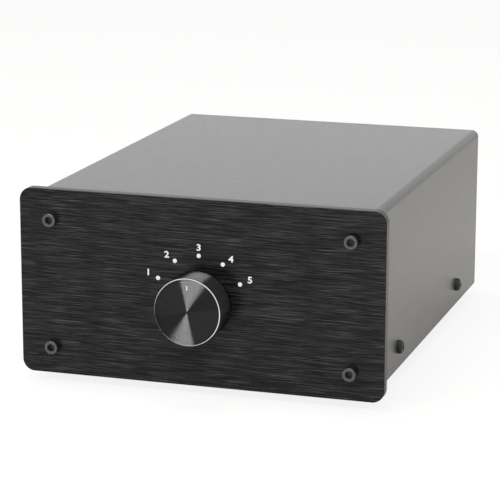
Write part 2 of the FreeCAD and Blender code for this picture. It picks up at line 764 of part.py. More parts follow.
# Detent spring: a strip with a round nose in the wheel's top notch, held down by its two lugs
nose_low = "notch_radius + nose_gap"
hook = "(spring_span + spring_lug_gap)"
hook_top = "spring_height + spring_hook"
strip_top = "spring_height + spring_thickness"
nose_inner = "(nose_radius - spring_thickness)"

spring = Piece("detent_spring", y="wheel_start", z="axis_height")
spring.pad("XZ", "0", "wheel_thickness", lambda sketch: outline(sketch, symmetric([
    ("nose_radius", nose_low),
    ("nose_radius", "spring_height"),
    (f"{hook} + spring_thickness", "spring_height"),
    (f"{hook} + spring_thickness", hook_top),
    (hook, hook_top),
    (hook, strip_top),
    (nose_inner, strip_top),
    (nose_inner, f"{nose_low} + spring_thickness"),
])))
spring.fillet("nose_radius - spring_nose_flat", spring.edges_at(x="nose_radius", z=nose_low))
spring.fillet(f"{nose_inner} - spring_nose_flat",
              spring.edges_at(x=nose_inner, z=f"{nose_low} + spring_thickness"))


# Stator wafer: a board with twelve contacts, held by the frame's two arms
def draw_arm_slots(sketch):
    for side in (-1, 1):
        block(sketch, "frame_gauge + 2 * frame_arm_gap", "frame_arm_width + 2 * frame_arm_gap",
              f"{side} * (frame_width - frame_gauge) / 2")


wafer_half_width = "(frame_width / 2 + wafer_ear)"
wafer = Piece("stator_wafer", y="wafer_front", z="axis_height")
wafer.pad("XZ", "0", "wafer_thickness", lambda sketch: outline(sketch, symmetric([
    (f"{wafer_half_width} - wafer_corner", "-wafer_height / 2"),
    (wafer_half_width, "-wafer_height / 2 + wafer_corner"),
    (wafer_half_width, "wafer_height / 2 - wafer_corner"),
    (f"{wafer_half_width} - wafer_corner", "wafer_height / 2"),
])))
wafer.pierce("XZ", "0", "wafer_thickness",
             lambda sketch: circle(sketch, "0", "0", "rotor_radius + rotor_play"))
wafer.pierce("XZ", "0", "wafer_thickness", draw_arm_slots)


def wafer_contact(label, reach):
    """A stamped contact that lies on the wafer's rear face, with its pin to the board."""
    contact = Piece(label, kept=False)
    contact.pad("XZ", "0", "strip_thickness",
                lambda sketch: rectangle(sketch, reach, "strip_end", "-strip_width / 2", "strip_width / 2"))
    contact.pad("XZ", "0", "board_gap + board_thickness - pin_short",
                lambda sketch: block(sketch, "pin_size", "pin_size", "pin_circle"))
    return contact.body


def around_axis(y, angle):
    """A placement on the shaft's axis, turned from X towards Z by an angle in degrees."""
    return FreeCAD.Placement(point("0", y, "axis_height"), FreeCAD.Rotation(AXES["Y"], -angle))


COMMON_ANGLES = (0, 180)
contact_angles = [STEP_ANGLE * count for count in range(NOTCHES)]
position_contact = wafer_contact("position_contact", "clip_reach")
common_contact = wafer_contact("common_contact", "common_reach")
group("stator_contacts", [
    (common_contact if angle in COMMON_ANGLES else position_contact, around_axis("wafer_rear", angle))
    for angle in contact_angles])


# Rotor: a disc on the spindle's blade, with a contact plate for each of the two channels. A plate
# is a band under the common contact, with a tongue that reaches one position's contact
rotor = Piece("rotor_disc", y="wafer_front", z="axis_height")
rotor.pad("XZ", "0", "wafer_thickness - rotor_sink",
          lambda sketch: circle(sketch, "0", "0", "rotor_radius"))
rotor.pierce("XZ", "0", "wafer_thickness", draw_blade_slot)

CONTACT_START = 80
CONTACT_END = 245
CONTACT_SIDES = 5
contact_turns = [CONTACT_START + (CONTACT_END - CONTACT_START) * side / CONTACT_SIDES
                 for side in range(CONTACT_SIDES + 1)]


def around(radius, angles):
    """Corners at a radius and at angles in degrees from the first axis towards the second."""
    return [(f"{radius} * cos({angle})", f"{radius} * sin({angle})") for angle in angles]


contact_plate = Piece("contact_plate", kept=False)
contact_plate.pad("XZ", "0", "contact_thickness", lambda sketch: outline(
    sketch, around("ring_outer", contact_turns) + around("ring_inner", reversed(contact_turns))))
contact_plate.pad("XZ", "0", "contact_thickness", lambda sketch: rectangle(
    sketch, "-tongue_width / 2", "tongue_width / 2", "(ring_inner + ring_outer) / 2", "tongue_reach"))
group("rotor_contacts", [(contact_plate.body, around_axis("wafer_rear - rotor_sink", angle))
                         for angle in COMMON_ANGLES])


# Jack board: the printed board that joins the jacks' tails to the switch's pins
board = Piece("jack_board", y="board_front", z="axis_height")
board.pad("XZ", "0", "board_thickness",
          lambda sketch: block(sketch, "4 * jack_pitch + block_width + 2 * board_margin",
                               "block_height + 2 * board_margin"))


def draw_tail_holes(sketch, places):
    for x, z in places:
        block(sketch, "tail_size + 2 * slot_play", "tail_size + 2 * slot_play", x, z)


board.pierce("XZ", "0", "board_thickness", lambda sketch: draw_tail_holes(sketch, jack_places))
pin_hole = board.pierce("XZ", "0", "board_thickness",
                        lambda sketch: block(sketch, "pin_size + 2 * slot_play",
                                             "pin_size + 2 * slot_play", "pin_circle"))
board.polar_pattern(pin_hole, NOTCHES)


# Jack blocks: moulded bodies of four jacks, with bosses that fill the windows of the rear wall
block_places = [(x, z) for x in signed_pair("jack_pitch / 2") for z in jack_rows.values()]
for name, x in block_columns.items():
    jack_block = Piece(name, x, "rear_wall", "axis_height")
    jack_block.pad("XZ", "-block_depth", "block_depth",
                   lambda sketch: block(sketch, "block_width", "block_height"))
    jack_block.pad("XZ", "0", "sheet_gauge", lambda sketch: [
        block(sketch, "boss_width", "boss_width", x, z) for x, z in block_places])
    jack_block.pocket("XZ", "-block_depth - sheet_gauge", "block_depth + 3 * sheet_gauge",
                      lambda sketch: draw_tail_holes(sketch, block_places))
    jack_block.pocket("XZ", "-jack_screw_length", "jack_screw_length",
                      lambda sketch: screw_holes(sketch, [("0", "0")]))

jack_screw = screw("jack_screw", "jack_screw_length + sheet_gauge - thread_end / 2",
                   "pan_head_diameter", "pan_head_height")
group("jack_screws", [
    (jack_screw.body, stood(point(x, "rear_wall + sheet_gauge", "axis_height"), AXES["Y"], AXES["Z"]))
    for x in block_columns.values()])


# Jacks: sleeves with the centre contact's bore; the master stands on its boss, facing up
jack = Piece("jack", kept=False)
jack.turn("XZ", [
    ("0", "0"),
    ("sleeve_diameter / 2", "0"),
    ("sleeve_diameter / 2", "sleeve_reach"),
    ("socket_bore / 2", "sleeve_reach"),
    ("socket_bore / 2", "sleeve_reach - socket_bore_depth"),
    ("0", "sleeve_reach - socket_bore_depth"),
], axis="V_Axis")
tail_length = "sheet_gauge + block_depth + board_thickness + tail_stub"
jack.pad("XY", f"-({tail_length})", tail_length,
         lambda sketch: block(sketch, "tail_size", "tail_size"))
for channel, z in jack_rows.items():
    group("jack_sleeves_" + channel, [
        (jack.body, stood(point(x, "rear_wall + sheet_gauge", f"axis_height + {z}"), AXES["Y"], AXES["Z"]))
        for x in jack_columns.values()])


# Every object must be sound before any piece is written
doc.recompute()
for thing in doc.Objects:
    if {"Invalid", "Error"} & set(thing.State):
        raise ValueError(f"{thing.Label} failed: {thing.State}")
os.makedirs("parts", exist_ok=True)
for label, thing in pieces.items():
    if thing.Shape.isNull() or not thing.Shape.isValid():
        raise ValueError(f"{label} has no valid shape")
    thing.Shape.exportStep(f"parts/{label}.step")
print(f"{len(pieces)} pieces written")
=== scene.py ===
import math

import bpy
from mathutils import Matrix, Vector


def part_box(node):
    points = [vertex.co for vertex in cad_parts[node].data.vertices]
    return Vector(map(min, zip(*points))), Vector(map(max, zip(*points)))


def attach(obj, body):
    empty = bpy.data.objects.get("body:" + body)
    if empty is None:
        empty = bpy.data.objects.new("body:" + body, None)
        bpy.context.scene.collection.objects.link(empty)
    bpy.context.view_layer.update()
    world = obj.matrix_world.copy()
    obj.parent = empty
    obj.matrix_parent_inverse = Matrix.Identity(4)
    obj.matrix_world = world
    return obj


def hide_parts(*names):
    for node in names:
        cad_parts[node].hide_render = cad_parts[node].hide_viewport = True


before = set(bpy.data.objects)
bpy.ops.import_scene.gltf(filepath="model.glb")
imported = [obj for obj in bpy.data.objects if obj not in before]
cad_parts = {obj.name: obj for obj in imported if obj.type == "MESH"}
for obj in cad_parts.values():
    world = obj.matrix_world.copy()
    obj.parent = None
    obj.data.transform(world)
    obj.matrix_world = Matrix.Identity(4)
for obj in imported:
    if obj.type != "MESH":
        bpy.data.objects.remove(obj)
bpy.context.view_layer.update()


# Base tray: floor, front and rear wall and side flanges, bent from one steel sheet and powder
# coated dark grey. It carries everything inside. Its windows and holes come from the CAD.
MM = 0.001
PEEL_MM = 0.5
MOTTLE_MM = 9
MOTTLE_SHARE = 0.1
TRAY_DARK = (0.030, 0.030, 0.031)
TRAY_LIGHT = (0.045, 0.045, 0.046)


class Amount:
    """A socket of a finish's shader, so that what varies is written as a sum."""

    def __init__(self, finish, socket):
        self.finish = finish
        self.socket = socket

    def joined(self, operation, first, second):
        """What an operation makes of two amounts or values."""
        return self.finish.node("ShaderNodeMath", {"operation": operation}, {0: first, 1: second})

    def __add__(self, other):
        return self.joined("ADD", self, other)

    def __radd__(self, other):
        return self.joined("ADD", other, self)

    def __sub__(self, other):
        return self.joined("SUBTRACT", self, other)

    def __rsub__(self, other):
        return self.joined("SUBTRACT", other, self)

    def __mul__(self, other):
        return self.joined("MULTIPLY", self, other)

    def __rmul__(self, other):
        return self.joined("MULTIPLY", other, self)


class Finish:
    """A surface finish: a material whose shader is fed with values and amounts."""

    def __init__(self, name):
        self.material = bpy.data.materials.new(name)
        self.material.use_nodes = True
        self.tree = self.material.node_tree
        self.place = self.node("ShaderNodeTexCoord", {}, {}, "Object")

    def node(self, kind, settings, inputs, output=0):
        """A node with its settings, then its inputs, as the amount of one of its outputs."""
        made = self.tree.nodes.new(kind)
        for name, value in settings.items():
            if name == "stops":
                for stop, (position, color) in zip(made.color_ramp.elements, value):
                    stop.position = position
                    stop.color = color
            else:
                setattr(made, name, value)
        self.feed(made, inputs)
        return Amount(self, made.outputs[output])

    def feed(self, node, inputs):
        """Sets a node's inputs to values, or links them to amounts."""
        for name, value in inputs.items():
            if isinstance(value, Amount):
                self.tree.links.new(value.socket, node.inputs[name])
            else:
                node.inputs[name].default_value = value

    def surface(self, inputs):
        """Feeds the shader of the surface."""
        self.feed(self.tree.nodes["Principled BSDF"], inputs)

    def stretched(self, x=1, y=1, z=1):
        """The place on the object, stretched by a factor along each axis."""
        return self.node("ShaderNodeMapping", {}, {"Vector": self.place, "Scale": (x, y, z)})

    def noise(self, place, grain_mm, detail=2.0, roughness=0.5):
        """Noise whose blots are about the given size."""
        return self.node("ShaderNodeTexNoise", {}, {"Vector": place, "Scale": 1 / (grain_mm * MM),
                                                    "Detail": detail, "Roughness": roughness}, "Fac")

    def shades(self, amount, dark, light, start=0.3, end=0.7):
        """A colour that runs from dark to light as the amount goes from start to end."""
        return self.node("ShaderNodeValToRGB", {"stops": [(start, (*dark, 1)), (end, (*light, 1))]},
                         {"Fac": amount}, "Color")

    def blend(self, amount, first, second):
        """A colour between two others."""
        return self.node("ShaderNodeMix", {"data_type": "RGBA"}, {0: amount, 6: first, 7: second}, 2)

    def bump(self, height, depth_mm, strength=1.0):
        """The surface's direction where it follows the height."""
        return self.node("ShaderNodeBump", {}, {"Height": height, "Distance": depth_mm * MM,
                                                "Strength": strength}, "Normal")


def powder_coat(name, dark, light):
    """Baked powder: a fine orange-peel skin with a slight mottle."""
    coat = Finish(name)
    peel = coat.noise(coat.place, PEEL_MM, detail=3, roughness=0.6)
    mottle = coat.noise(coat.place, MOTTLE_MM, detail=4)
    shade = MOTTLE_SHARE * mottle + (1 - MOTTLE_SHARE) * peel
    coat.surface({
        "Base Color": coat.shades(shade, dark, light, start=0.36, end=0.64),
        "Roughness": 0.2 + 0.2 * peel,
        "Normal": coat.bump(peel, depth_mm=0.06, strength=0.8),
    })
    return coat.material


def dress(name, material):
    """Gives a CAD node its finish."""
    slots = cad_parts[name].data.materials
    slots.clear()
    slots.append(material)


dress("base_tray", powder_coat("tray_powder", TRAY_DARK, TRAY_LIGHT))


# Feet: four square rubber pads, stuck to the tray's floor. They taper to a rounded lower face,
# and their moulded skin is matt.
FOOT_TAPER = 0.9
FOOT_CORNER = 1.6 * MM
FOOT_ROUND = 0.8 * MM
FOOT_DARK = (0.010, 0.010, 0.010)
FOOT_LIGHT = (0.020, 0.020, 0.020)
FACING = 0.9

rubber = Finish("foot_rubber")
rubber_skin = rubber.noise(rubber.place, grain_mm=0.8, detail=4)
rubber.surface({
    "Base Color": rubber.shades(rubber_skin, FOOT_DARK, FOOT_LIGHT),
    "Roughness": 0.7 + 0.2 * rubber_skin,
    "Normal": rubber.bump(rubber_skin, depth_mm=0.03),
})


def start_piece():
    """Leaves nothing selected, so that the next operators act on the new piece alone."""
    if bpy.context.object and bpy.context.object.mode != "OBJECT":
        bpy.ops.object.mode_set(mode="OBJECT")
    bpy.ops.object.select_all(action="DESELECT")


def take_piece(name):
    """Names the new piece and puts its place into its mesh."""
    piece = bpy.context.object
    piece.name = name
    bpy.ops.object.transform_apply(location=True, rotation=True, scale=True)
    return piece


def pick_faces(piece, wanted):
    """In edit mode with only the faces selected whose middle and normal are wanted."""
    bpy.ops.object.mode_set(mode="EDIT")
    bpy.ops.mesh.select_mode(type="FACE")
    bpy.ops.mesh.select_all(action="DESELECT")
    bpy.ops.object.mode_set(mode="OBJECT")
    for face in piece.data.polygons:
        face.select = wanted(face.center, face.normal)
    bpy.ops.object.mode_set(mode="EDIT")


def end_piece(piece, material, smooth_degrees=35):
    """Closes a piece with outward faces, its finish, and shading that is soft on its round
    stretches and even on its flat ones."""
    bpy.ops.object.mode_set(mode="EDIT")
    bpy.ops.mesh.select_all(action="SELECT")
    bpy.ops.mesh.normals_make_consistent(inside=False)
    bpy.ops.object.mode_set(mode="OBJECT")
    if not piece.data.materials:
        piece.data.materials.append(material)
    bpy.ops.object.shade_smooth_by_angle(angle=math.radians(smooth_degrees))
    even = piece.modifiers.new("even_shading", "WEIGHTED_NORMAL")
    even.keep_sharp = True
    bpy.ops.object.modifier_apply(modifier=even.name)


def plain_block(name, low, high):
    """A block between two corners."""
    start_piece()
    bpy.ops.mesh.primitive_cube_add(size=1, location=(low + high) / 2)
    bpy.context.object.scale = high - low
    return take_piece(name)


def pick_edges(piece, wanted):
    """In edit mode with only the edges selected whose two ends are wanted."""
    pick_faces(piece, lambda place, normal: False)
    bpy.ops.mesh.select_mode(type="EDGE")
    bpy.ops.object.mode_set(mode="OBJECT")
    for edge in piece.data.edges:
        edge.select = wanted(*[piece.data.vertices[corner].co for corner in edge.vertices])
    bpy.ops.object.mode_set(mode="EDIT")


for corner in ("front_left", "front_right", "rear_left", "rear_right"):
    node = "foot_" + corner
    foot = plain_block("pad_" + corner, *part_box(node))
    pick_edges(foot, lambda one, other: abs(one.z - other.z) > MM)
    bpy.ops.mesh.bevel(offset=FOOT_CORNER, segments=5, affect="EDGES")
    pick_faces(foot, lambda place, normal: normal.z < -FACING)
    bpy.ops.transform.resize(value=(FOOT_TAPER, FOOT_TAPER, 1))
    bpy.ops.mesh.bevel(offset=FOOT_ROUND, segments=4, affect="EDGES")
    end_piece(foot, rubber.material)
    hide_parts(node)
    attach(foot, "chassis")


# Front bushing: the front bearing of the long shaft, turned from brass. It is pressed into the
# tray's front wall and has a hexagonal flange behind it.
def drawn_metal(name, dark, light, roughness, grain=(1, 1, 1), grain_mm=0.6):
    """Bare metal with fine marks; the grain's factors stretch them along an axis."""
    metal = Finish(name)
    marks = metal.noise(metal.stretched(*grain), grain_mm, detail=4, roughness=0.65)
    metal.surface({
        "Base Color": metal.shades(marks, dark, light),
        "Metallic": 1.0,
        "Roughness": roughness + 0.15 * (marks - 0.5),
        "Normal": metal.bump(marks, depth_mm=0.01, strength=0.5),
    })
    return metal.material


BRASS_DARK = (0.62, 0.43, 0.17)
BRASS_LIGHT = (0.80, 0.60, 0.27)
brass = drawn_metal("turned_brass", BRASS_DARK, BRASS_LIGHT, roughness=0.28)
dress("front_bushing", brass)


# Switch bracket and frame: zinc plated sheet. The bracket is spot welded to the floor, the frame
# carries the stops and the wafer, and its threaded bushing is held by the nut.
ZINC_DARK = (0.50, 0.52, 0.56)
ZINC_LIGHT = (0.66, 0.67, 0.68)
zinc = drawn_metal("zinc_plate", ZINC_DARK, ZINC_LIGHT, roughness=0.38, grain_mm=2.5)
for node in ("switch_bracket", "switch_frame", "switch_nut", "stop_arm"):
    dress(node, zinc)


# Detent spring: a rolled strip of spring steel whose round nose sits in the wheel's top notch.
# Two lugs of the switch frame hold it down. Its grain runs along the strip.
SPRING_DARK = (0.36, 0.37, 0.40)
SPRING_LIGHT = (0.52, 0.53, 0.55)
spring_steel = drawn_metal("spring_steel", SPRING_DARK, SPRING_LIGHT, roughness=0.3, grain=(0.05, 1, 1))
dress("detent_spring", spring_steel)


# Detent wheel and rotor disc: moulded in off-white acetal, which is slightly waxy. Both sit on
# the flat blade of the switch's spindle and turn with the knob.
def moulded(name, dark, light, roughness, grain_mm=0.5):
    """Moulded plastic: an even colour with a fine matt skin."""
    plastic = Finish(name)
    skin = plastic.noise(plastic.place, grain_mm, detail=3)
    plastic.surface({
        "Base Color": plastic.shades(skin, dark, light),
        "Roughness": roughness + 0.12 * (skin - 0.5),
        "Normal": plastic.bump(skin, depth_mm=0.015, strength=0.6),
    })
    return plastic.material


ACETAL_DARK = (0.72, 0.69, 0.60)
ACETAL_LIGHT = (0.80, 0.77, 0.69)
acetal = moulded("acetal", ACETAL_DARK, ACETAL_LIGHT, roughness=0.4)
for node in ("detent_wheel", "rotor_disc"):
    dress(node, acetal)


# Wafer and jack board: brown fibre laminate, with a fleck of fibres along the board. The frame's
# arms hold the wafer, and the jack board joins the switch's pins to the jacks' tails.
LAMINATE_DARK = (0.19, 0.11, 0.045)
LAMINATE_LIGHT = (0.30, 0.19, 0.08)
laminate = Finish("fibre_laminate")
fibres = laminate.noise(laminate.stretched(x=0.25), grain_mm=0.7, detail=5, roughness=0.7)
laminate.surface({
    "Base Color": laminate.shades(fibres, LAMINATE_DARK, LAMINATE_LIGHT),
    "Roughness": 0.45 + 0.15 * fibres,
    "Normal": laminate.bump(fibres, depth_mm=0.01),
})
for node in ("stator_wafer", "jack_board"):
    dress(node, laminate.material)


# Contacts: stamped from silver plated strip, a little tarnished. Twelve lie on the wafer, and two
# plates turn with the rotor disc.
SILVER_DARK = (0.60, 0.57, 0.50)
SILVER_LIGHT = (0.83, 0.81, 0.77)
silver = drawn_metal("silver_plate", SILVER_DARK, SILVER_LIGHT, roughness=0.25, grain_mm=1.2)
for node in ("stator_contacts", "rotor_contacts"):
    dress(node, silver)


# Shafts: the long selector shaft and the switch's spindle are drawn aluminium bar. The hexagonal
# coupler between them is brass, held by black set screws.
BAR_DARK = (0.58, 0.59, 0.60)
BAR_LIGHT = (0.74, 0.74, 0.75)
bar = drawn_metal("drawn_bar", BAR_DARK, BAR_LIGHT, roughness=0.3, grain=(1, 0.06, 1))
for node in ("selector_shaft", "switch_spindle"):
    dress(node, bar)
dress("shaft_coupler", brass)

OXIDE_DARK = (0.010, 0.010, 0.011)
OXIDE_LIGHT = (0.035, 0.035, 0.037)
oxide = Finish("black_oxide")
oxide_mottle = oxide.noise(oxide.place, grain_mm=0.35, detail=4)
oxide.surface({
    "Base Color": oxide.shades(oxide_mottle, OXIDE_DARK, OXIDE_LIGHT),
    "Metallic": 0.6,
    "Roughness": 0.32 + 0.2 * oxide_mottle,
    "Normal": oxide.bump(oxide_mottle, depth_mm=0.01),
})
for node in ("coupler_set_screws", "knob_set_screw"):
    dress(node, oxide.material)


# Jack blocks: three moulded black bodies of four jacks each, whose bosses fill the windows of
# the rear wall. A screw through the wall holds each of them.
BLOCK_DARK = (0.012, 0.012, 0.013)
BLOCK_LIGHT = (0.022, 0.022, 0.023)
block_plastic = moulded("block_plastic", BLOCK_DARK, BLOCK_LIGHT, roughness=0.45, grain_mm=0.3)
for node in ("jack_block_right", "jack_block_middle", "jack_block_left"):
    dress(node, block_plastic)


# Jacks: a nickel plated shell, a white (left) or red (right) insert set back from its rim, and
# the tube of the centre contact. One is modelled and copied to every place of its channel.
JACK_COLUMNS = 6
SHELL_WALL = 0.75 * MM
SHELL_ROUND = 0.25 * MM
INSERT_SINK = 0.7 * MM
CONTACT_RADIUS = 2.1 * MM
CONTACT_RISE = 0.4 * MM
CONTACT_BORE = 1.6 * MM
CONTACT_DEPTH = 7.6 * MM
NICKEL_DARK = (0.62, 0.61, 0.58)
NICKEL_LIGHT = (0.78, 0.77, 0.74)
WHITE_DARK = (0.74, 0.74, 0.72)
WHITE_LIGHT = (0.82, 0.82, 0.80)
RED_DARK = (0.48, 0.012, 0.012)
RED_LIGHT = (0.60, 0.022, 0.020)
INSERT_SLOT = 1
CONTACT_SLOT = 2
SQUARE_ON = 0.999
TOUCH = 0.01 * MM
nickel = drawn_metal("bright_nickel", NICKEL_DARK, NICKEL_LIGHT, roughness=0.16, grain=(1, 0.3, 1))
INSERTS = {
    "left": moulded("white_insert", WHITE_DARK, WHITE_LIGHT, roughness=0.35),
    "right": moulded("red_insert", RED_DARK, RED_LIGHT, roughness=0.35),
}


def give_finishes(piece, *materials):
    """Fills the piece's material slots, in this order."""
    for material in materials:
        piece.data.materials.append(material)


def draw_out(x, y, z):
    """Extrudes the selected faces by a step."""
    bpy.ops.mesh.extrude_region_move(TRANSFORM_OT_translate={"value": (x, y, z)})


def step_in(width, depth, material_slot):
    """Insets the selected face and moves what is inside along Y, as one turned step."""
    bpy.ops.mesh.inset(thickness=width)
    draw_out(0, depth, 0)
    bpy.context.object.active_material_index = material_slot
    bpy.ops.object.material_slot_assign()


def join_pieces(pieces, name):
    """One object of several."""
    bpy.ops.object.select_all(action="DESELECT")
    for piece in pieces:
        piece.select_set(True)
    bpy.context.view_layer.objects.active = pieces[0]
    bpy.ops.object.join()
    pieces[0].name = name
    return pieces[0]


def copy_to(piece, placement):
    """A copy of the piece, with its own mesh, moved by a placement."""
    copy = piece.copy()
    copy.data = piece.data.copy()
    copy.data.transform(placement)
    bpy.context.scene.collection.objects.link(copy)
    return copy


def round_bar(name, low, high, radius, axis="Y", sides=64):
    """A round bar between two places along an axis of the frame."""
    start_piece()
    turn = {"X": (0, math.radians(90), 0), "Y": (math.radians(90), 0, 0), "Z": (0, 0, 0)}[axis]
    bpy.ops.mesh.primitive_cylinder_add(vertices=sides, radius=radius, depth=(high - low).length,
                                        location=(low + high) / 2, rotation=turn)
    return take_piece(name)


for channel, insert in INSERTS.items():
    node = "jack_sleeves_" + channel
    low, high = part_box(node)
    radius = (high.z - low.z) / 2
    row = (low.z + high.z) / 2
    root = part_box("base_tray")[1].y
    pitch = (high.x - low.x - 2 * radius) / (JACK_COLUMNS - 1)
    jack = round_bar("jack_" + channel, Vector((low.x + radius, root, row)),
                     Vector((low.x + radius, high.y, row)), radius)
    give_finishes(jack, nickel, insert, silver)
    pick_faces(jack, lambda place, normal: normal.y > FACING)
    bpy.ops.mesh.bevel(offset=SHELL_ROUND, segments=3, affect="EDGES")
    pick_faces(jack, lambda place, normal: normal.y > SQUARE_ON and place.y > high.y - TOUCH)
    step_in(SHELL_WALL - SHELL_ROUND, -INSERT_SINK, INSERT_SLOT)
    step_in(radius - SHELL_WALL - CONTACT_RADIUS, CONTACT_RISE, CONTACT_SLOT)
    step_in(CONTACT_RADIUS - CONTACT_BORE, -CONTACT_DEPTH, CONTACT_SLOT)
    end_piece(jack, nickel)
    jacks = [jack]
    for column in range(1, JACK_COLUMNS):
        jacks.append(copy_to(jack, Matrix.Translation((pitch * column, 0, 0))))
    row_of_jacks = join_pieces(jacks, "jacks_" + channel)
    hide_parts(node)
    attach(row_of_jacks, "chassis")


# Pan head screws: black cross-recess screws, three at the rear wall and two in each side of the
# cover. The driver has worn their recesses. One is modelled upright and turned to its places.
PAN_RADIUS = 2.8 * MM
PAN_HEIGHT = 2.1 * MM
PAN_ROUND = 1.3 * MM
SHANK_RADIUS = 1.5 * MM
CROSS_WIDTH = 0.75 * MM
CROSS_LENGTH = 3.1 * MM
CROSS_DEPTH = 1.2 * MM
WORN_DARK = (0.05, 0.05, 0.051)
WORN_LIGHT = (0.13, 0.13, 0.132)
WORN_SLOT = 1
SCREW_SIDES = 48
SCREW_SMOOTH_DEGREES = 40
worn_oxide = Finish("worn_oxide")
wear = worn_oxide.noise(worn_oxide.place, grain_mm=0.5, detail=3)
worn_oxide.surface({
    "Base Color": worn_oxide.shades(wear, WORN_DARK, WORN_LIGHT),
    "Metallic": 0.9,
    "Roughness": 0.3 + 0.15 * wear,
    "Normal": worn_oxide.bump(wear, depth_mm=0.01),
})


def cut(piece, tool):
    """Takes the tool's shape out of the piece and removes the tool."""
    bpy.ops.object.select_all(action="DESELECT")
    piece.select_set(True)
    bpy.context.view_layer.objects.active = piece
    difference = piece.modifiers.new("cut", "BOOLEAN")
    difference.operation = "DIFFERENCE"
    difference.solver = "EXACT"
    difference.object = tool
    bpy.ops.object.modifier_apply(modifier=difference.name)
    bpy.data.objects.remove(tool)


def screw_blank(name, radius, height, edge, edge_segments, length):
    """A screw that stands on the XY plane with its rounded head up, before its recess is cut."""
    blank = round_bar(name, Vector((0, 0, 0)), Vector((0, 0, height)), radius, "Z", sides=SCREW_SIDES)
    give_finishes(blank, oxide.material, worn_oxide.material)
    pick_faces(blank, lambda place, normal: normal.z > FACING)
    bpy.ops.mesh.bevel(offset=edge, segments=edge_segments, affect="EDGES")
    pick_faces(blank, lambda place, normal: normal.z < -FACING)
    bpy.ops.mesh.inset(thickness=radius - SHANK_RADIUS)
    draw_out(0, 0, -length)
    bpy.ops.object.mode_set(mode="OBJECT")
    return blank


def pan_head_screw(name, length):
    """A screw with a domed head and a worn cross recess."""
    screw = screw_blank(name, PAN_RADIUS, PAN_HEIGHT, PAN_ROUND, edge_segments=6, length=length)
    floor = PAN_HEIGHT - CROSS_DEPTH
    for width, depth in ((CROSS_LENGTH, CROSS_WIDTH), (CROSS_WIDTH, CROSS_LENGTH)):
        cut(screw, plain_block("cross", Vector((-width / 2, -depth / 2, floor)),
                               Vector((width / 2, depth / 2, 2 * PAN_HEIGHT))))
    for face in screw.data.polygons:
        in_cross = max(abs(face.center.x), abs(face.center.y)) < CROSS_LENGTH / 2 + TOUCH
        if in_cross and 0 < face.center.z < PAN_HEIGHT - TOUCH:
            face.material_index = WORN_SLOT
    end_piece(screw, oxide.material, SCREW_SMOOTH_DEGREES)
    return screw


def stand_copies(master, places, towards):
    """A copy at each place of a master that points up, turned to point towards a side."""
    turned = towards.to_track_quat("Z", "Y").to_matrix().to_4x4()
    return [copy_to(master, Matrix.Translation(place) @ turned) for place in places]


def finish_screws(pieces, node):
    """Joins the screws of a CAD node into the piece that stands for it."""
    screws = join_pieces(pieces, node + "_turned")
    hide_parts(node)
    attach(screws, "chassis")


JACK_SCREW_LENGTH = 8.2 * MM
low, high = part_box("jack_screws")
seat = high.y - PAN_HEIGHT
master = pan_head_screw("jack_screw", JACK_SCREW_LENGTH)
middle_height = (low.z + high.z) / 2
columns = [low.x + PAN_RADIUS, (low.x + high.x) / 2, high.x - PAN_RADIUS]
jack_screw_places = [Vector((x, seat, middle_height)) for x in columns]
finish_screws(stand_copies(master, jack_screw_places, Vector((0, 1, 0))), "jack_screws")
bpy.data.objects.remove(master)


# Top cover: one steel sheet folded to a U, with rounded folds, a hole for each side screw and
# slightly rounded cut edges. Its satin dark grey powder coat shines where it is seen at a slant.
SHEET = 1.2 * MM
COVER_BEND = 3 * MM
SHEET_EDGE = 0.12 * MM
COVER_HOLE = 1.6 * MM
COVER_DARK = (0.030, 0.0294, 0.0286)
COVER_LIGHT = (0.090, 0.0883, 0.0860)
HOLE_SIDES = 32
cover_coat = powder_coat("cover_powder", COVER_DARK, COVER_LIGHT)
cover_low, cover_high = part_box("top_cover")

cover = plain_block("folded_cover", cover_low, cover_high)
pick_faces(cover, lambda place, normal: normal.z < -FACING or abs(normal.y) > FACING)
bpy.ops.mesh.delete(type="ONLY_FACE")
pick_edges(cover, lambda one, other: (min(one.z, other.z) > cover_high.z - MM
                                      and abs(one.x - other.x) < MM))
bpy.ops.mesh.bevel(offset=COVER_BEND, segments=16, affect="EDGES")
bpy.ops.mesh.select_all(action="SELECT")
bpy.ops.mesh.normals_make_consistent(inside=False)
bpy.ops.object.mode_set(mode="OBJECT")
sheet = cover.modifiers.new("sheet", "SOLIDIFY")
sheet.thickness = SHEET
sheet.offset = -1
bpy.ops.object.modifier_apply(modifier=sheet.name)

screw_low, screw_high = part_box("cover_screws")
screw_height = (screw_low.z + screw_high.z) / 2
screw_rows = [screw_low.y + PAN_RADIUS, screw_high.y - PAN_RADIUS]
for y in screw_rows:
    cut(cover, round_bar("hole", Vector((2 * cover_low.x, y, screw_height)),
                         Vector((2 * cover_high.x, y, screw_height)), COVER_HOLE, "X", sides=HOLE_SIDES))
soft_edge = cover.modifiers.new("soft_edge", "BEVEL")
soft_edge.width = SHEET_EDGE
soft_edge.segments = 2
soft_edge.angle_limit = math.radians(60)
bpy.ops.object.modifier_apply(modifier=soft_edge.name)
end_piece(cover, cover_coat)
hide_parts("top_cover")
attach(cover, "chassis")

COVER_SCREW_LENGTH = 6 * MM
master = pan_head_screw("cover_screw", COVER_SCREW_LENGTH)
side_screws = []
for side, x in ((-1, cover_low.x), (1, cover_high.x)):
    side_places = [Vector((x, y, screw_height)) for y in screw_rows]
    side_screws += stand_copies(master, side_places, Vector((side, 0, 0)))
finish_screws(side_screws, "cover_screws")
bpy.data.objects.remove(master)


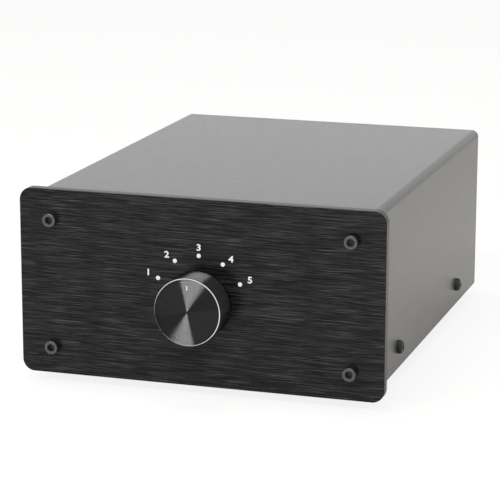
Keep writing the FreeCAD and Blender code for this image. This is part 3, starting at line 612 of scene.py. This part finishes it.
# Front panel: a 4 mm aluminium plate, brushed along its width, rounded at the corners, anodised
# black, with a fine bevel around the front. The five marks and their numbers are printed white.
PANEL_CORNER = 5 * MM
PANEL_BEVEL = 0.35 * MM
PANEL_DARK = (0.0018, 0.0018, 0.0019)
PANEL_LIGHT = (0.027, 0.027, 0.0275)
FLECK_LIGHT = (0.085, 0.085, 0.086)
EDGE_DARK = (0.008, 0.008, 0.0082)
EDGE_LIGHT = (0.024, 0.024, 0.0245)
STREAK_SHARE = 0.15
MILLED_SLOT = 1
EDGE_ON = 0.1

brushed = Finish("brushed_black_anodised")
hairlines = brushed.noise(brushed.stretched(x=0.011), grain_mm=0.16, detail=3, roughness=0.7)
streaks = brushed.noise(brushed.stretched(x=0.015), grain_mm=0.7, detail=2, roughness=0.5)
flecks = brushed.noise(brushed.stretched(x=0.009), grain_mm=0.2, detail=2, roughness=0.7)
brush = (1 - STREAK_SHARE) * hairlines + STREAK_SHARE * streaks
brush_color = brushed.shades(brush, PANEL_DARK, PANEL_LIGHT, start=0.48, end=0.60)
fleck_mask = brushed.node("ShaderNodeMapRange", {"clamp": True},
                          {"Value": flecks, "From Min": 0.58, "From Max": 0.66}, "Result")
brushed.surface({
    "Base Color": brushed.blend(fleck_mask, brush_color, (*FLECK_LIGHT, 1)),
    "Metallic": 0.35,
    "Roughness": 0.24 + 0.2 * (hairlines - 0.5),
    "Specular IOR Level": 0.2,
    "Normal": brushed.bump(hairlines, depth_mm=0.01, strength=0.55),
})

milled = Finish("milled_black_edge")
mill_marks = milled.noise(milled.stretched(y=0.03), grain_mm=0.3, detail=3)
milled.surface({
    "Base Color": milled.shades(mill_marks, EDGE_DARK, EDGE_LIGHT),
    "Metallic": 0.35,
    "Roughness": 0.3 + 0.1 * mill_marks,
    "Specular IOR Level": 0.3,
    "Normal": milled.bump(mill_marks, depth_mm=0.01),
})

panel_low, panel_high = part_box("front_panel")
panel = plain_block("brushed_panel", panel_low, panel_high)
give_finishes(panel, brushed.material, milled.material)
pick_edges(panel, lambda one, other: abs(one.y - other.y) > MM)
bpy.ops.mesh.bevel(offset=PANEL_CORNER, segments=20, affect="EDGES")
pick_faces(panel, lambda place, normal: normal.y < -FACING)
bpy.ops.mesh.bevel(offset=PANEL_BEVEL, segments=3, affect="EDGES")
bpy.ops.object.mode_set(mode="OBJECT")

PANEL_SCREW_HOLE = 1.6 * MM
SHAFT_HOLE = 4.8 * MM
BORE_SIDES = 48
HEAD_RADIUS = 2.75 * MM
screw_low, screw_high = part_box("panel_screws")
screw_places = [Vector((x, panel_low.y, z))
                for x in (screw_low.x + HEAD_RADIUS, screw_high.x - HEAD_RADIUS)
                for z in (screw_low.z + HEAD_RADIUS, screw_high.z - HEAD_RADIUS)]
knob_low, knob_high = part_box("knob")
axis_height = (knob_low.z + knob_high.z) / 2
through = Vector((0, panel_high.y - panel_low.y, 0))
for place in screw_places:
    cut(panel, round_bar("hole", place - through, place + 2 * through, PANEL_SCREW_HOLE,
                         sides=HOLE_SIDES))
axis_place = Vector((0, panel_low.y, axis_height))
cut(panel, round_bar("hole", axis_place - through, axis_place + 2 * through, SHAFT_HOLE,
                     sides=BORE_SIDES))
for face in panel.data.polygons:
    if abs(face.normal.y) < EDGE_ON:
        face.material_index = MILLED_SLOT
end_piece(panel, brushed.material)
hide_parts("front_panel")
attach(panel, "chassis")


# Panel screws: four black socket head screws, which hold the panel to the tray's front wall. The
# turned face of the head is worn a little brighter than its side, as a ring about the socket.
HEAD_HEIGHT = 3 * MM
HEAD_EDGE = 0.35 * MM
HEAD_SOCKET = 2.5 * MM
HEAD_SOCKET_DEPTH = 1.7 * MM
SOCKET_CHAMFER = 0.15 * MM
PANEL_SCREW_LENGTH = 7.2 * MM
TURNED_FACING = 0.2

master = screw_blank("panel_screw", HEAD_RADIUS, HEAD_HEIGHT, HEAD_EDGE, edge_segments=3,
                     length=PANEL_SCREW_LENGTH)
for face in master.data.polygons:
    if face.normal.z > TURNED_FACING:
        face.material_index = WORN_SLOT
socket_radius = HEAD_SOCKET / math.sqrt(3)
cut(master, round_bar("socket", Vector((0, 0, HEAD_HEIGHT - HEAD_SOCKET_DEPTH)),
                      Vector((0, 0, 2 * HEAD_HEIGHT)), socket_radius, "Z", sides=6))
mouth_radius = socket_radius + SOCKET_CHAMFER
start_piece()
bpy.ops.mesh.primitive_cone_add(vertices=SCREW_SIDES, radius1=0, radius2=2 * mouth_radius,
                                depth=2 * mouth_radius, location=(0, 0, HEAD_HEIGHT))
cut(master, take_piece("mouth"))
end_piece(master, oxide.material, SCREW_SMOOTH_DEGREES)
finish_screws(stand_copies(master, screw_places, Vector((0, -1, 0))), "panel_screws")
bpy.data.objects.remove(master)


# Print: five round marks in an arc about the knob, each with its plain number, printed white on
# the brushed face. A number's place is in mm to the right of the knob's axis and above it.
POSITIONS = 5
PRINT_THICKNESS = 0.02 * MM
MARK_RADIUS = 0.87 * MM
MARK_CIRCLE = 19.1 * MM
NUMBER_PLACES = [(-20.9, 10.9), (-13.2, 18.6), (0, 22.3), (13.2, 18.6), (20.9, 10.9)]
NUMBER_HEIGHT = 2.55 * MM
NUMBER_STRETCH = 1.15
NUMBER_BOLD = 0.08 * MM
LETTER_SIZE_TO_HEIGHT = 1.4
MARK_STEP = math.radians(31)
PRINT_DARK = (0.72, 0.72, 0.711)
PRINT_LIGHT = (0.80, 0.80, 0.79)

print_ink = Finish("white_print")
ink_grain = print_ink.noise(print_ink.place, grain_mm=0.15, detail=3)
print_ink.surface({
    "Base Color": print_ink.shades(ink_grain, PRINT_DARK, PRINT_LIGHT),
    "Roughness": 0.5 + 0.1 * ink_grain,
})


def print_number(value, place, height, turn=0):
    """A plain printed number with its middle at a place. It faces forward, or back when turned."""
    start_piece()
    bpy.ops.object.text_add()
    number = bpy.context.object
    number.data.body = str(value)
    number.data.size = height * LETTER_SIZE_TO_HEIGHT
    number.data.extrude = PRINT_THICKNESS / 2
    number.data.offset = NUMBER_BOLD
    number.data.align_x = "CENTER"
    number.data.align_y = "CENTER"
    bpy.ops.object.convert(target="MESH")
    number.location = place
    number.rotation_euler = (math.radians(90), 0, turn)
    number.scale = (NUMBER_STRETCH, 1, 1)
    number = take_piece("number")
    end_piece(number, print_ink.material)
    return number


printed = []
for position in range(POSITIONS):
    angle = MARK_STEP * (position - POSITIONS // 2)
    spot = Vector((MARK_CIRCLE * math.sin(angle), panel_low.y,
                   axis_height + MARK_CIRCLE * math.cos(angle)))
    mark = round_bar("mark", spot - Vector((0, PRINT_THICKNESS, 0)), spot, MARK_RADIUS, sides=32)
    pick_faces(mark, lambda place, normal: normal.y < -FACING)
    bpy.ops.mesh.bevel(offset=PRINT_THICKNESS / 2, segments=2, affect="EDGES")
    end_piece(mark, print_ink.material)
    printed.append(mark)

    aside, above = NUMBER_PLACES[position]
    spot = Vector((aside * MM, panel_low.y - PRINT_THICKNESS / 2, axis_height + above * MM))
    printed.append(print_number(position + 1, spot, NUMBER_HEIGHT))
front_print = join_pieces(printed, "front_print")
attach(front_print, "chassis")


# Rear print: the rear wall has the same numbers over its five inputs, from the left as seen from
# behind. The sixth pair of jacks is the output, and stays bare.
REAR_NUMBER_HEIGHT = 3.4 * MM
REAR_NUMBER_RISE = 6.5 * MM
upper_low, upper_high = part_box("jack_sleeves_left")
sleeve_radius = (upper_high.z - upper_low.z) / 2
column_step = (upper_high.x - upper_low.x - 2 * sleeve_radius) / (JACK_COLUMNS - 1)
rear_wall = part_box("base_tray")[1].y
rear_numbers = []
for column in range(POSITIONS):
    spot = Vector((upper_high.x - sleeve_radius - column * column_step,
                   rear_wall + PRINT_THICKNESS / 2,
                   upper_high.z + REAR_NUMBER_RISE))
    rear_numbers.append(print_number(column + 1, spot, REAR_NUMBER_HEIGHT, math.pi))
rear_print = join_pieces(rear_numbers, "rear_print")
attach(rear_print, "chassis")


# Knob: turned aluminium, anodised black, held on the shaft by a set screw from below. The tool
# leaves fine rings on its side and face, which spread the light into a band and two fans. The
# front edge is cut bright after anodising, and a short white line shows the position.
KNOB_RADIUS = 13.4 * MM
KNOB_BACK_LAND = 1 * MM
KNOB_BACK_BEVEL = 0.3 * MM
KNOB_BEVEL = 0.27 * MM
SIDE_RING_PITCH = 0.4 * MM
SIDE_RING_DEPTH = 0.13 * MM
FACE_STEP = 0.12 * MM
FACE_SINK = 0.1 * MM
FACE_RING_PITCH = 0.2 * MM
FACE_RING_DEPTH = 0.0625 * MM
FACE_RING_CHANGE = 0.07
FACE_RING_BEAT = 2.4
FACE_CENTRE = 0.4 * MM
BORE_RADIUS = 3.05 * MM
BORE_DEPTH = 10.5 * MM
SET_SCREW_HOLE = 1.6 * MM
KNOB_SIDES = 128
KNOB_SMOOTH_DEGREES = 20
POINTER_WIDTH = 0.5 * MM
POINTER_LENGTH = 1.9 * MM
POINTER_INSET = 2.6 * MM
POINTER_DEPTH = 0.12 * MM
KNOB_DARK = (0.017, 0.017, 0.0174)
KNOB_LIGHT = (0.027, 0.027, 0.0275)
FACE_DARK = (0.021, 0.021, 0.0215)
FACE_LIGHT = (0.035, 0.035, 0.0355)
CUT_DARK = (0.70, 0.70, 0.71)
CUT_LIGHT = (0.86, 0.86, 0.87)
CUT_SLOT = 1
FACE_SLOT = 2
POINTER_SLOT = 3

side_finish = Finish("knob_anodised_side")
side_wear = side_finish.noise(side_finish.place, grain_mm=1.5, detail=3)
side_finish.surface({
    "Base Color": side_finish.shades(side_wear, KNOB_DARK, KNOB_LIGHT),
    "Metallic": 1.0,
    "Roughness": 0.18 + 0.06 * side_wear,
})

face_finish = Finish("knob_spun_face")
from_axis = face_finish.node("ShaderNodeVectorMath", {"operation": "SUBTRACT"},
                             {0: face_finish.place, 1: (0, 0, axis_height)}, "Vector")
on_face = face_finish.node("ShaderNodeVectorMath", {"operation": "MULTIPLY"},
                           {0: from_axis, 1: (1, 0, 1)}, "Vector")
radius_out = face_finish.node("ShaderNodeVectorMath", {"operation": "LENGTH"}, {0: on_face}, "Value")
ring_place = face_finish.node("ShaderNodeCombineXYZ", {}, {"X": radius_out}, "Vector")
rings = face_finish.noise(ring_place, grain_mm=0.3, detail=2, roughness=0.6)
face_finish.surface({
    "Base Color": face_finish.shades(rings, FACE_DARK, FACE_LIGHT),
    "Metallic": 1.0,
    "Roughness": 0.11 + 0.06 * rings,
})
bright_cut = drawn_metal("bright_cut", CUT_DARK, CUT_LIGHT, roughness=0.2)

knob_back = Vector((0, knob_high.y, axis_height))
knob = round_bar("turned_knob", knob_back - Vector((0, KNOB_BACK_LAND, 0)), knob_back,
                 KNOB_RADIUS, sides=KNOB_SIDES)
give_finishes(knob, side_finish.material, bright_cut, face_finish.material, print_ink.material)
pick_faces(knob, lambda place, normal: normal.y > FACING)
bpy.ops.mesh.bevel(offset=KNOB_BACK_BEVEL, segments=2, affect="EDGES")
pick_faces(knob, lambda place, normal: normal.y < -FACING)
side_length = knob_high.y - knob_low.y - KNOB_BACK_LAND - 2 * KNOB_BEVEL
side_rings = int(side_length / SIDE_RING_PITCH)
waist = 1 - SIDE_RING_DEPTH / KNOB_RADIUS
for half_ring in range(2 * side_rings):
    narrowing = waist if half_ring % 2 == 0 else 1 / waist
    draw_out(0, -SIDE_RING_PITCH / 2, 0)
    bpy.ops.transform.resize(value=(narrowing, 1, narrowing))
front_land = side_length + 2 * KNOB_BEVEL - side_rings * SIDE_RING_PITCH
draw_out(0, -front_land, 0)
bpy.ops.mesh.bevel(offset=KNOB_BEVEL, segments=1, affect="EDGES")
bpy.ops.object.mode_set(mode="OBJECT")
for face in knob.data.polygons:
    if -SQUARE_ON < face.normal.y < -EDGE_ON and face.center.y < knob_low.y + KNOB_BEVEL:
        face.material_index = CUT_SLOT
pick_faces(knob, lambda place, normal: normal.y < -SQUARE_ON)
step_in(FACE_STEP, FACE_SINK, FACE_SLOT)
face_radius = KNOB_RADIUS - KNOB_BEVEL - FACE_STEP
for ring in range(int((face_radius - FACE_CENTRE) / FACE_RING_PITCH)):
    depth = FACE_RING_DEPTH * (1 + FACE_RING_CHANGE * math.sin(FACE_RING_BEAT * ring))
    for inward in (depth, -depth):
        bpy.ops.mesh.inset(thickness=FACE_RING_PITCH / 2)
        bpy.ops.transform.translate(value=(0, inward, 0))
bpy.ops.object.mode_set(mode="OBJECT")

bore_reach = Vector((0, BORE_DEPTH, 0))
cut(knob, round_bar("bore", knob_back - bore_reach, knob_back + bore_reach, BORE_RADIUS,
                    sides=BORE_SIDES))
set_screw_low, set_screw_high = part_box("knob_set_screw")
set_screw_row = (set_screw_low.y + set_screw_high.y) / 2
cut(knob, round_bar("screw_hole", Vector((0, set_screw_row, 0)),
                    Vector((0, set_screw_row, set_screw_high.z)), SET_SCREW_HOLE, "Z", sides=24))
pointer_top = axis_height + KNOB_RADIUS - KNOB_BEVEL - POINTER_INSET
pointer_floor = knob_low.y + FACE_SINK + POINTER_DEPTH
pointer_low = Vector((-POINTER_WIDTH / 2, 2 * knob_low.y, pointer_top - POINTER_LENGTH))
pointer_high = Vector((POINTER_WIDTH / 2, pointer_floor, pointer_top))
cut(knob, plain_block("pointer", pointer_low, pointer_high))
for face in knob.data.polygons:
    if abs(face.center.y - pointer_floor) < TOUCH and face.normal.y < -SQUARE_ON:
        face.material_index = POINTER_SLOT
end_piece(knob, side_finish.material, KNOB_SMOOTH_DEGREES)
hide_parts("knob")
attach(knob, "selector")


# Studio: a white floor that keeps a soft shadow, a bright room, and three soft lamps: a strip
# high in front of the object, one above it, and a low one far behind it.
CAMERA_PLACE = Vector((274.25, -890.91, 261.82)) * MM
CAMERA_TURN = math.radians(17.575)
CAMERA_DOWN = math.radians(13.485)
CAMERA_ROLL = math.radians(0.126)
FOCAL_LENGTH_MM = 161.29
SENSOR_MM = 36
CAMERA_REACH = 20

bpy.ops.object.select_all(action="DESELECT")
bpy.ops.object.camera_add()
camera = bpy.context.object
camera.matrix_world = (Matrix.Translation(CAMERA_PLACE)
                       @ Matrix.Rotation(CAMERA_TURN, 4, "Z")
                       @ Matrix.Rotation(math.radians(90) - CAMERA_DOWN, 4, "X")
                       @ Matrix.Rotation(CAMERA_ROLL, 4, "Z"))
camera.data.lens = FOCAL_LENGTH_MM
camera.data.sensor_width = SENSOR_MM
camera.data.clip_end = CAMERA_REACH
bpy.context.scene.camera = camera

FLOOR_SIZE = 8
FLOOR_GAP = 0.05 * MM
FLOOR_SHADOW = 0.14
FLOOR_MIRRORED = 0.15
FLOOR_COLOR = (0.90, 0.88, 0.84, 1)
floor_finish = Finish("studio_floor")
floor_finish.surface({"Base Color": FLOOR_COLOR, "Roughness": 0.9})

camera_ray, glossy_ray, through_ray = [
    floor_finish.node("ShaderNodeLightPath", {}, {}, ray)
    for ray in ("Is Camera Ray", "Is Glossy Ray", "Is Transmission Ray")]
seen = (1 - FLOOR_SHADOW) * (camera_ray + through_ray) + FLOOR_MIRRORED * glossy_ray
glow = floor_finish.node("ShaderNodeEmission", {}, {"Color": (1, 1, 1, 1), "Strength": 1.0}, "Emission")
plain = Amount(floor_finish, floor_finish.tree.nodes["Principled BSDF"].outputs["BSDF"])
mixed = floor_finish.node("ShaderNodeMixShader", {}, {0: seen, 1: plain, 2: glow}, "Shader")
floor_finish.tree.links.new(mixed.socket, floor_finish.tree.nodes["Material Output"].inputs["Surface"])

start_piece()
bpy.ops.mesh.primitive_plane_add(size=FLOOR_SIZE, location=(0, 0, -FLOOR_GAP))
floor = bpy.context.object
floor.name = "floor"
floor.data.materials.append(floor_finish.material)

ROOM_LEVEL = 0.55
WHITE_LEVEL = 1.0
world = bpy.data.worlds.new("studio")
bpy.context.scene.world = world
world.use_nodes = True
room = world.node_tree
light_path = room.nodes.new("ShaderNodeLightPath")
background = room.nodes["Background"]
background.inputs["Color"].default_value = (1, 1, 1, 1)
seen = light_path.outputs["Is Camera Ray"]
for ray in ("Is Glossy Ray", "Is Transmission Ray"):
    either = room.nodes.new("ShaderNodeMath")
    either.operation = "MAXIMUM"
    room.links.new(seen, either.inputs[0])
    room.links.new(light_path.outputs[ray], either.inputs[1])
    seen = either.outputs[0]
level = room.nodes.new("ShaderNodeMix")
level.inputs[2].default_value = ROOM_LEVEL
level.inputs[3].default_value = WHITE_LEVEL
room.links.new(seen, level.inputs[0])
room.links.new(level.outputs[0], background.inputs["Strength"])


def soft_lamp(name, place, aim, width, height, watts):
    """A large rectangular lamp that looks at its aim."""
    bpy.ops.object.select_all(action="DESELECT")
    bpy.ops.object.light_add(type="AREA", location=place)
    lamp = bpy.context.object
    lamp.name = name
    lamp.rotation_euler = (Vector(aim) - Vector(place)).to_track_quat("-Z", "Y").to_euler()
    lamp.data.shape = "RECTANGLE"
    lamp.data.size = width
    lamp.data.size_y = height
    lamp.data.energy = watts


OBJECT_MIDDLE = (0, 0, 0.04)
soft_lamp("key_lamp", (-0.14, -1.05, 1.05), OBJECT_MIDDLE, width=1.3, height=0.13, watts=14)
soft_lamp("top_lamp", (-0.16, 0.02, 1.25), (-0.16, 0, 0.04), width=0.95, height=0.2, watts=7)
soft_lamp("rear_lamp", (-0.6, 3.0, 0.25), OBJECT_MIDDLE, width=2.0, height=0.3, watts=2)

bpy.context.scene.view_settings.view_transform = "Standard"

bpy.context.view_layer.update()
